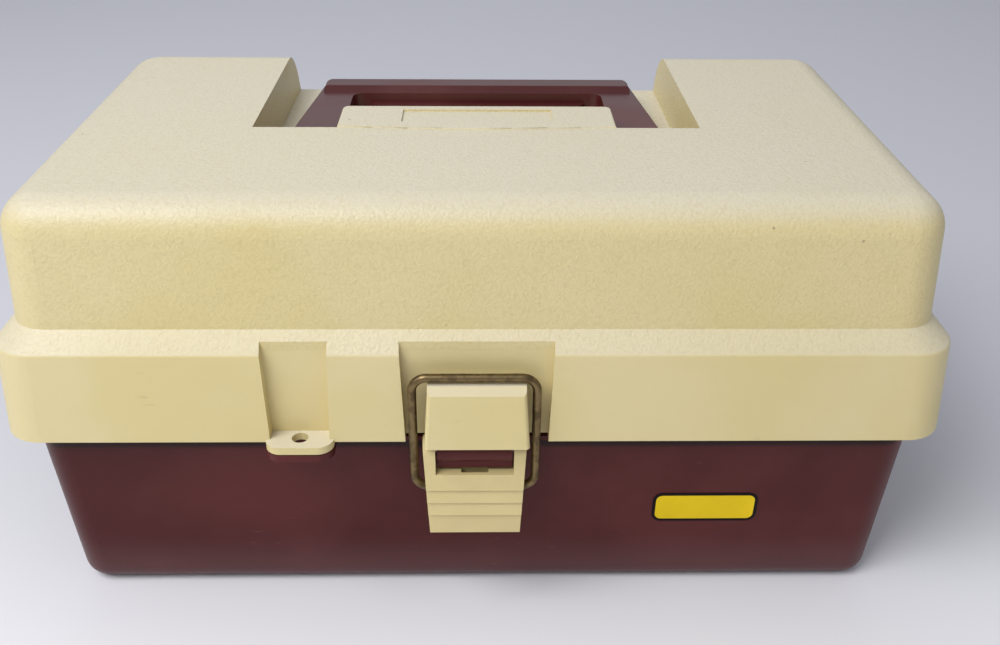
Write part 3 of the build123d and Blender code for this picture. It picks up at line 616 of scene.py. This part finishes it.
class TACKLEBOX_OT_stage(Operator):
    """Set up the floor, the lights, the surround and the camera"""

    bl_idname = "tacklebox.stage"
    bl_label = "Studio"

    def execute(self, context):
        _, _, studio = settings()
        self.floor()
        self.lights(studio)
        self.surround(studio)
        self.camera(studio)
        context.scene.view_settings.view_transform = "Standard"
        return {"FINISHED"}

    def floor(self):
        """Pale flat floor, a little darker behind the box."""
        bpy.ops.object.select_all(action="DESELECT")
        bpy.ops.mesh.primitive_plane_add(size=FLOOR_SIZE, location=(0, 0, 0))
        floor = bpy.context.object
        floor.name = "floor"
        material, tree, shader, place = start_material("Pale floor")
        weave = add_node(tree, "ShaderNodeTexNoise", inputs={"Scale": 3.0, "Detail": 4.0})
        tree.links.new(place, weave.inputs["Vector"])
        tone = mixed(tree, weave.outputs["Fac"], FLOOR_PALE, FLOOR_PALER)
        behind = ramp(tree, axes(tree, place)["Y"], BEHIND_FROM, BEHIND_TO)
        tone = mixed(tree, behind, tone, FLOOR_BEHIND)
        tree.links.new(tone, shader.inputs["Base Color"])
        shader.inputs["Roughness"].default_value = 0.9
        floor.data.materials.append(material)

    def lights(self, studio):
        """Large soft key from above, a soft fill from the front, a broad light behind."""
        # Name, power, size, place and the point that it is aimed at
        lamps = (
            ("key", studio.key_power, 0.8, (-0.62, -0.62, 1.15), (-0.05, 0, 0.1)),
            ("fill", studio.fill_power, 1.2, (-0.15, -1.3, 0.6), (0, 0, 0.1)),
            ("back", studio.back_power, 1.4, (0.0, 1.1, 1.1), (0, 0, 0.15)),
        )
        for name, power, size, place, aim in lamps:
            lamp = bpy.data.lights.new(name, "AREA")
            lamp.energy = power
            lamp.size = size
            holder = bpy.data.objects.new(name, lamp)
            holder.location = place
            direction = Vector(aim) - Vector(place)
            holder.rotation_euler = direction.to_track_quat("-Z", "Y").to_euler()
            bpy.context.scene.collection.objects.link(holder)

    def surround(self, studio):
        """Pale surround, seen by the camera as a light wall."""
        world = bpy.data.worlds.new("Pale surround")
        bpy.context.scene.world = world
        world.use_nodes = True
        back = world.node_tree.nodes["Background"]
        back.inputs["Color"].default_value = SURROUND
        back.inputs["Strength"].default_value = studio.world_strength

    def camera(self, studio):
        """Camera at the photograph's viewing angle."""
        data = bpy.data.cameras.new("camera")
        data.lens = studio.lens
        data.sensor_width = SENSOR_WIDTH
        data.clip_start = 0.01
        camera = bpy.data.objects.new("camera", data)
        back = CAMERA_RIGHT.cross(CAMERA_UP)
        turn = Matrix((CAMERA_RIGHT, CAMERA_UP, back)).transposed().to_4x4()
        camera.matrix_world = Matrix.Translation(CAMERA_PLACE) @ turn
        bpy.context.scene.collection.objects.link(camera)
        bpy.context.scene.camera = camera


class TACKLEBOX_PT_panel(Panel):
    """Lists the pieces and their settings in the sidebar"""

    bl_idname = "TACKLEBOX_PT_panel"
    bl_label = "Tackle Box"
    bl_space_type = "VIEW_3D"
    bl_region_type = "UI"
    bl_category = "Tackle Box"

    def draw(self, context):
        column = self.layout.column()
        for operator in OPERATORS:
            column.operator(operator.bl_idname)
        for group in settings():
            box = self.layout.box()
            for name in group.__annotations__:
                box.prop(group, name)


OPERATORS = (
    TACKLEBOX_OT_stage,
    TACKLEBOX_OT_lid,
    TACKLEBOX_OT_base,
    TACKLEBOX_OT_handle,
    TACKLEBOX_OT_latch,
    TACKLEBOX_OT_trays,
    TACKLEBOX_OT_steelwork,
    TACKLEBOX_OT_blank_label,
)
GROUPS = {
    "tackle_colours": TackleBoxColours,
    "tackle_sizes": TackleBoxSizes,
    "tackle_studio": TackleBoxStudio,
}


def register():
    for name, group in GROUPS.items():
        bpy.utils.register_class(group)
        setattr(bpy.types.Scene, name, PointerProperty(type=group))
    for operator in OPERATORS:
        bpy.utils.register_class(operator)
    bpy.utils.register_class(TACKLEBOX_PT_panel)


def unregister():
    bpy.utils.unregister_class(TACKLEBOX_PT_panel)
    for operator in reversed(OPERATORS):
        bpy.utils.unregister_class(operator)
    for name, group in GROUPS.items():
        delattr(bpy.types.Scene, name)
        bpy.utils.unregister_class(group)


def main():
    """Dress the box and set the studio."""
    register()
    for operator in OPERATORS:
        family, name = operator.bl_idname.split(".")
        getattr(getattr(bpy.ops, family), name)()


if __name__ == "__main__":
    main()
